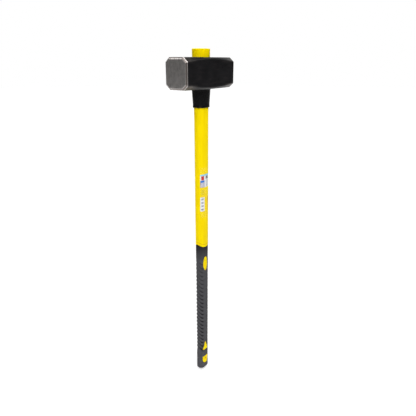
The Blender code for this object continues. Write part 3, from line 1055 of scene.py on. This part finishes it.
def sheet_solid(name, outer, inner, materials):
    """A thin closed solid between two matching grids of points."""
    rows = len(outer)
    columns = len(outer[0])
    back = rows * columns
    faces = []
    for row in range(rows - 1):
        for column in range(columns - 1):
            corner = row * columns + column
            face = [corner, corner + 1, corner + columns + 1, corner + columns]
            faces.append(face)
            faces.append([back + index for index in face[::-1]])
    end_row = rows - 1
    end_column = columns - 1
    rim = [(0, column) for column in range(end_column)] + [(row, end_column) for row in range(end_row)]
    rim += [(end_row, column) for column in range(end_column, 0, -1)]
    rim += [(row, 0) for row in range(end_row, 0, -1)]
    rim = [row * columns + column for row, column in rim]
    for here, after in zip(rim, rim[1:] + rim[:1]):
        faces.append([here, back + here, back + after, after])
    mesh = bpy.data.meshes.new(name)
    mesh.from_pydata(np.concatenate(outer + inner).tolist(), [], faces)
    face_outwards(mesh)
    made = finished(name, mesh, materials, 40)
    register(made, "product_label")
    return made


# Materials.

class Graph:
    """A node tree. Each step adds a node and returns it or its output socket."""

    def __init__(self, tree):
        self.nodes = tree.nodes
        self.links = tree.links

    def add(self, kind, inputs=None, **settings):
        """A node with its inputs set to values or linked to sockets."""
        node = self.nodes.new(kind)
        for name, value in settings.items():
            setattr(node, name, value)
        for name, value in (inputs or {}).items():
            self.feed(node.inputs[name], value)
        return node

    def feed(self, socket, value):
        """Links a socket to another one, or sets its value."""
        if isinstance(value, bpy.types.NodeSocket):
            self.links.new(value, socket)
        else:
            socket.default_value = value

    def vector(self, operation, *values):
        """A node for one step of vector arithmetic."""
        return self.add("ShaderNodeVectorMath", dict(enumerate(values)), operation=operation)


class Shader(Graph):
    """Builds one material."""

    def __init__(self, name, **values):
        self.material = bpy.data.materials.new(name)
        self.material.use_nodes = True
        super().__init__(self.material.node_tree)
        self.surface = self.nodes["Principled BSDF"]
        self.place = self.add("ShaderNodeTexCoord").outputs["Object"]
        for name, value in values.items():
            self.surface.inputs[name.replace("_", " ")].default_value = value

    def noise(self, scale, detail=3.0, roughness=0.55, vector=None):
        """Noise whose lumps are about 1/scale across."""
        node = self.add("ShaderNodeTexNoise", {"Vector": vector or self.place, "Scale": scale,
                                               "Detail": detail, "Roughness": roughness})
        return node.outputs["Fac"]

    def streaks(self, scale, detail, roughness):
        """Noise with its own scale along each axis of the object."""
        node = self.add("ShaderNodeMapping", {"Vector": self.place, "Scale": scale})
        return self.noise(1.0, detail, roughness, node.outputs["Vector"])

    def cells(self, scale, feature="F1"):
        """Distance to scattered points about 1/scale apart."""
        node = self.add("ShaderNodeTexVoronoi", {"Vector": self.place, "Scale": scale}, feature=feature)
        return node.outputs["Distance"]

    def shade(self, name):
        """A number stored on the mesh."""
        return self.add("ShaderNodeAttribute", attribute_name=name).outputs["Fac"]

    def spread(self, value, low=0.3, high=0.7, start=0.0, end=1.0):
        """Maps low..high to start..end, held at the ends. The range of most noise is 0.3..0.7."""
        node = self.add("ShaderNodeMapRange", {"Value": value, "From Min": low, "From Max": high,
                                               "To Min": start, "To Max": end})
        return node.outputs["Result"]

    def sum(self, first, second, operation="ADD"):
        """One arithmetic step."""
        return self.add("ShaderNodeMath", {0: first, 1: second}, operation=operation).outputs[0]

    def times(self, first, second):
        """A product."""
        return self.sum(first, second, "MULTIPLY")

    def average(self, first, second):
        """Half of the sum of two patterns."""
        return self.times(self.sum(first, second), 0.5)

    def mix(self, share, first, second):
        """A colour between two others."""
        node = self.add("ShaderNodeMix", {"Factor": share}, data_type="RGBA")
        for name, colour in (("A", first), ("B", second)):
            self.feed(node.inputs[name], (*colour, 1) if isinstance(colour, tuple) else colour)
        return node.outputs["Result"]

    def bump(self, height, distance, strength=1.0, below=None):
        """A normal for a surface whose height varies by up to distance."""
        inputs = {"Height": height, "Distance": distance, "Strength": strength}
        if below:
            inputs["Normal"] = below
        return self.add("ShaderNodeBump", inputs).outputs["Normal"]

    def finish(self, colour, roughness, normal):
        """Connects the three patterned inputs of the shader and returns the material."""
        for name, value in (("Base Color", colour), ("Roughness", roughness), ("Normal", normal)):
            self.feed(self.surface.inputs[name], value)
        return self.material


def ground_steel():
    """Bare steel with upright grinding lines, blotches and pits. Its bevels are dull, with painted
    highlights along their rims.
    """
    make = Shader("ground_steel", Metallic=1.0)
    lines = make.average(make.streaks((900, 2600, 90), 2.0, 0.6), make.streaks((200, 420, 36), 3.0, 0.5))
    tone = make.sum(make.times(lines, 0.6), make.times(make.noise(95, 4.0, 0.6), 0.4))
    colour = make.mix(make.spread(tone, 0.36, 0.64), STEEL_DARK, STEEL_LIGHT)
    bevel = make.shade("bevel")
    dull = make.times(make.spread(bevel, 0.10, 0.28), make.spread(bevel, 0.95, 0.80))
    # Painted highlights along both rims of each bevel, where the rounded edges would catch the light: a
    # faint band near the face and a full one at the painted edge.
    foot = make.times(make.spread(bevel, 0.06, 0.10), make.spread(bevel, 0.26, 0.16))
    rim_highlight = make.sum(make.times(foot, 0.3), make.spread(bevel, 0.86, 0.96), "MAXIMUM")
    colour = make.mix(dull, colour, STEEL_DULL)
    colour = make.mix(make.times(rim_highlight, 0.48), colour, STEEL_PAINTED_HIGHLIGHT)
    pits = make.spread(make.cells(420), 0.0, 0.10)
    normal = make.bump(pits, 0.00004, 0.5, make.bump(lines, 0.00006, 0.6))
    return make.finish(colour, make.spread(tone, 0.3, 0.7, 0.46, 0.30), normal)


def black_paint():
    """Satin black paint over a forging: uneven, slightly grainy, thinner on the long edges, and paler and
    warmer on the chamfers next to the faces.
    """
    make = Shader("black_paint", Specular_IOR_Level=0.20)
    scale = make.noise(260, 5.0, 0.6)
    base = make.mix(make.spread(make.noise(48, 3.0, 0.5), 0.35, 0.65), PAINT_DARK, PAINT_LIGHT)
    worn = make.sum(make.shade("edge"), make.spread(scale, 0.3, 0.7, -0.3, 0.3))
    colour = make.mix(make.spread(worn, 0.55, 1.15, 0.0, 0.55), base, PAINT_WORN)
    scuff = make.streaks((34, 34, 210), 4.0, 0.65)
    colour = make.mix(make.spread(scuff, 0.52, 0.70, 0.0, 0.5), colour, PAINT_SCUFFED)
    # Paler, warmer patches on the chamfers next to the faces, strongest on the lower ones and broken up by
    # the scale noise.
    pale_patches = make.times(make.shade("pale_patches"), make.spread(scale, 0.35, 0.60, 0.35, 1.0))
    colour = make.mix(pale_patches, colour, PAINT_PALE_WARM)
    normal = make.bump(scale, 0.00012, 0.5, make.bump(make.noise(1100, 3.0, 0.6), 0.00003, 0.5))
    return make.finish(colour, make.spread(scale, 0.3, 0.7, 0.27, 0.40), normal)


def potting_resin():
    """Amber resin with small trapped bubbles."""
    make = Shader("potting_resin", Coat_Weight=0.4)
    bubbles = make.spread(make.cells(900), 0.05, 0.22)
    cloud = make.noise(220, 4.0)
    colour = make.mix(bubbles, RESIN_BUBBLE, make.mix(make.spread(cloud), RESIN_DARK, RESIN_LIGHT))
    return make.finish(colour, make.spread(cloud, 0.3, 0.7, 0.22, 0.40), make.bump(bubbles, 0.0001, 0.5))


def glass_fibre():
    """Pulled glass fibre: pale, with streaks along the rod."""
    make = Shader("glass_fibre")
    strands = make.streaks((2400, 2400, 30), 4.0, 0.6)
    colour = make.mix(make.spread(strands), FIBRE_DARK, FIBRE_LIGHT)
    return make.finish(colour, make.spread(strands, 0.3, 0.7, 0.42, 0.62), make.bump(strands, 0.00005, 0.6))


def yellow_plastic():
    """Moulded yellow polypropylene: faint flow lines, a fine texture and light scuffs, with painted shade
    in the groove above the tongue and in the dimples.
    """
    make = Shader("yellow_plastic", Specular_IOR_Level=0.03, Subsurface_Weight=0.06, Subsurface_Scale=0.002)
    tone = make.average(make.streaks((150, 150, 9), 3.0, 0.5), make.noise(30, 3.0, 0.5))
    base = make.mix(make.spread(tone, 0.36, 0.64), YELLOW_DARK, YELLOW_LIGHT)
    base = make.mix(make.spread(make.noise(950, 2.0), 0.70, 0.78, 0.0, 0.35), base, YELLOW_SPECK)
    # Painted shade in the groove above the tongue and in the dimples.
    colour = make.mix(make.shade("recess_shade"), base, YELLOW_PAINTED_SHADE)
    scuffs = make.streaks((260, 260, 34), 4.0, 0.7)
    normal = make.bump(tone, 0.00015, 0.35, make.bump(make.noise(2200, 2.0), 0.00002, 0.45))
    return make.finish(colour, make.spread(scuffs, 0.35, 0.70, 0.33, 0.47), normal)


def black_plastic():
    """Smooth black moulded plastic with a light haze."""
    make = Shader("black_plastic", Specular_IOR_Level=0.11)
    haze = make.noise(130, 4.0, 0.6)
    colour = make.mix(make.spread(haze), BLACK_DARK, BLACK_LIGHT)
    roughness = make.spread(haze, 0.3, 0.7, 0.24, 0.34)
    return make.finish(colour, roughness, make.bump(make.noise(1700, 3.0), 0.00002, 0.5))


def grip_rubber():
    """Dark grey rubber: dusty crests, grooves darkened with painted shade, a darker smooth top with painted
    shade under the jacket's edge, and a fine pebbled texture.
    """
    make = Shader("grip_rubber", Specular_IOR_Level=0.04)
    groove = make.shade("groove")
    cloud = make.noise(85, 4.0, 0.6)
    height = make.add("ShaderNodeSeparateXYZ", {"Vector": make.place}).outputs["Z"]
    base = make.mix(make.spread(cloud), RUBBER_DARK, RUBBER_LIGHT)
    # Darker towards the jacket's edge: darker smooth rubber, with painted shade under the jacket's edge.
    base = make.mix(make.spread(height, RIB_TOP, TONGUE_SIDE), base, RUBBER_TOP)
    # Painted shade in the grooves; the crests are pulled towards a dusty grey.
    deep = make.mix(make.spread(groove, 0.55, 1.0), base, RUBBER_GROOVE_SHADE)
    colour = make.mix(make.spread(groove, 0.4, 0.0, 0.0, 0.5), deep, RUBBER_CREST)
    grain = make.bump(make.noise(3800, 2.0), 0.00003, 0.5)
    normal = make.bump(make.cells(1500, "SMOOTH_F1"), 0.00007, 0.45, grain)
    return make.finish(colour, make.spread(cloud, 0.3, 0.7, 0.58, 0.74), normal)


def clear_film():
    """The label's unprinted film, nearly clear."""
    make = Shader("clear_film", Alpha=0.015)
    haze = make.noise(300, 3.0)
    colour = make.mix(make.spread(haze), FILM_DARK, FILM_LIGHT)
    return make.finish(colour, make.spread(haze, 0.3, 0.7, 0.16, 0.26), make.bump(haze, 0.00003, 0.3))


def print_ink(name, colour):
    """Ink on the label, slightly mottled."""
    make = Shader(name)
    mottle = make.noise(1400, 3.0, 0.6)
    shade = make.mix(make.spread(mottle), tuple(0.86 * part for part in colour), colour)
    return make.finish(shade, make.spread(mottle, 0.3, 0.7, 0.26, 0.36), make.bump(mottle, 0.00002, 0.3))


def studio_floor():
    """A pale, faintly mottled studio floor that glows where it runs back to the white wall, and glows more
    round the butt as painted light that fills in the hammer's contact shadow.
    """
    make = Shader("studio_floor", Specular_IOR_Level=0.1, Emission_Color=(*WHITE, 1))
    away = make.vector("LENGTH", make.place).outputs["Value"]
    near = make.spread(away, 0.3, 2.9, LIT_FLOOR, LIT_FLOOR + 0.52)
    lit = make.sum(near, make.spread(away, 2.9, 6.0, 0.0, 0.28))
    # A brighter glow round the butt: painted light that fills in the hammer's contact shadow.
    lit = make.sum(lit, make.spread(away, 0.02, 0.24, 0.22, 0.0))
    mottle = make.noise(9, 4.0)
    colour = make.mix(make.spread(mottle), FLOOR_DARK, FLOOR_LIGHT)
    start = direction(CAMERA_AZIMUTH, 0.0) * CAMERA_DISTANCE
    way = make.vector("SUBTRACT", make.place, start).outputs["Vector"]
    way = make.vector("NORMALIZE", way).outputs["Vector"]
    facing = make.vector("DOT_PRODUCT", way, wall_direction()).outputs["Value"]
    glow = make.spread(facing, WALL_START, WALL_FULL, DIM_FLOOR, 1.0)
    make.feed(make.surface.inputs["Emission Strength"], make.times(glow, lit))
    return make.finish(colour, make.spread(mottle, 0.3, 0.7, 0.7, 0.8), make.bump(mottle, 0.0005, 0.2))


# The stage.

def make_floor():
    """A wide disc under the hammer."""
    build = bmesh.new()
    bmesh.ops.create_circle(build, cap_ends=True, segments=96, radius=FLOOR_RADIUS)
    mesh = bpy.data.meshes.new("floor")
    build.to_mesh(mesh)
    build.free()
    floor = finished("floor", mesh, [studio_floor()])
    floor.location.z = CAD_BOX[0].z - FLOOR_DROP


def direction(azimuth, elevation):
    """The way to something seen from the hammer. Azimuth turns from -Y towards -X."""
    flat = math.cos(elevation)
    return Vector((-math.sin(azimuth) * flat, -math.cos(azimuth) * flat, math.sin(elevation)))


def wall_direction():
    """The way from the hammer to the lit wall behind it."""
    return direction(CAMERA_AZIMUTH + math.pi, 0.0)


def softbox(name, azimuth, elevation, distance, size, power, target=0.6):
    """A square area light, in degrees round the hammer, aimed at a height on its axis."""
    lamp = bpy.data.lights.new(name, "AREA")
    lamp.shape = "RECTANGLE"
    lamp.size, lamp.size_y = size
    lamp.energy = power
    made = bpy.data.objects.new(name, lamp)
    aim = Vector((0, 0, target))
    way = direction(math.radians(azimuth), math.radians(elevation))
    made.location = aim + way * distance
    made.rotation_euler = (-way).to_track_quat("-Z", "Y").to_euler()
    bpy.context.collection.objects.link(made)


def make_lights():
    """A large soft light in front, a weaker one over the head, and two from the sides."""
    softbox("key", 32, 48, 3.6, (3.4, 2.6), 152)
    softbox("above", 92, 76, 2.6, (2.4, 1.6), 32, target=0.9)
    softbox("right", -58, 42, 3.0, (1.4, 1.2), 9, target=0.8)
    softbox("far_left", 147, 42, 2.8, (1.6, 1.4), 31, target=0.8)


def make_world():
    """A studio whose far side, behind the hammer, is a lit white wall, and whose near side is dim."""
    world = bpy.data.worlds.new("studio")
    bpy.context.scene.world = world
    world.use_nodes = True
    make = Graph(world.node_tree)
    seen = make.add("ShaderNodeTexCoord").outputs["Generated"]
    facing = make.vector("DOT_PRODUCT", seen, wall_direction()).outputs["Value"]
    reach = {"From Min": WALL_START, "From Max": WALL_FULL, "To Min": DIM_ROOM, "To Max": 1.0}
    lit = make.add("ShaderNodeMapRange", {"Value": facing, **reach}, interpolation_type="SMOOTHSTEP")
    background = make.nodes["Background"]
    make.feed(background.inputs["Strength"], lit.outputs["Result"])
    make.feed(background.inputs["Color"], (*WHITE, 1))


def make_camera():
    """The camera, at the angle from which the hammer is shown."""
    camera = bpy.data.cameras.new("camera")
    camera.lens = CAMERA_LENS
    camera.clip_start, camera.clip_end = CAMERA_CLIP
    made = bpy.data.objects.new("camera", camera)
    way = direction(CAMERA_AZIMUTH, 0.0) * CAMERA_DISTANCE
    made.location = (way.x, way.y, CAMERA_HEIGHT)
    made.rotation_euler = (math.pi / 2 - CAMERA_PITCH, 0, -(CAMERA_AZIMUTH + CAMERA_TURN))
    made.rotation_euler.rotate_axis("Z", CAMERA_ROLL)
    bpy.context.collection.objects.link(made)
    bpy.context.scene.camera = made


def print_label(label, inks):
    """Gives each face of the label the ink of the last print that covers it."""
    for face in label.data.polygons:
        x, z = face.center.x, face.center.z
        for ink, left, right, low, high in label_prints():
            if left < x < right and low < z < high:
                face.material_index = inks.index(ink)


def lines(ink, left, right, low, thickness, pitch, count):
    """Evenly spaced level lines of the label's print."""
    starts = [low + step * pitch for step in range(count)]
    return [(ink, left, right, start, start + thickness) for start in starts]


def label_prints():
    """The label's plain blocks, bands and lines, as (ink, left, right, low, high)."""
    prints = [
        ("white", -0.0160, -0.0042, 0.5830, 0.6165),
        ("sky", -0.0160, -0.0042, 0.6128, 0.6165),
        ("red", -0.0140, -0.0058, 0.6022, 0.6124),
        ("blue", -0.0160, -0.0042, 0.5960, 0.6010),
        ("lilac", -0.0160, -0.0042, 0.5830, 0.5958),
        ("white", -0.0042, 0.0110, 0.5830, 0.6165),
        ("sky", -0.0042, 0.0110, 0.6128, 0.6165),
        ("grey", 0.0010, 0.0085, 0.6040, 0.6120),
        ("white", -0.0160, -0.0048, 0.5185, 0.5567),
        ("red", 0.0085, 0.0100, 0.5180, 0.5560),
    ]
    prints += lines("grey", 0.0000, 0.0090, 0.5850, 0.0012, 0.0030, 6)
    prints += lines("white", -0.0145, -0.0065, 0.5850, 0.0008, 0.0030, 4)
    prints += lines("faint", -0.0140, -0.0060, 0.5640, 0.0010, 0.0035, 4)
    for middle in (0.5235, 0.5328, 0.5421, 0.5514):
        prints += lines("grey", -0.0135, -0.0068, middle - 0.0024, 0.0008, 0.0012, 4)
    return prints


bpy.context.scene.view_settings.view_transform = "Standard"
make_camera()
make_floor()
make_lights()
make_world()

make_head(black_paint(), ground_steel())
make_resin(potting_resin())
make_jacket(yellow_plastic())
make_collar(black_plastic())
make_grip(grip_rubber())
label = make_label([clear_film()] + [print_ink(f"ink_{name}", colour) for name, colour in INKS.items()])
print_label(label, ["film"] + list(INKS))

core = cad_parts["handle_core"]
core.data.materials.clear()
core.data.materials.append(glass_fibre())
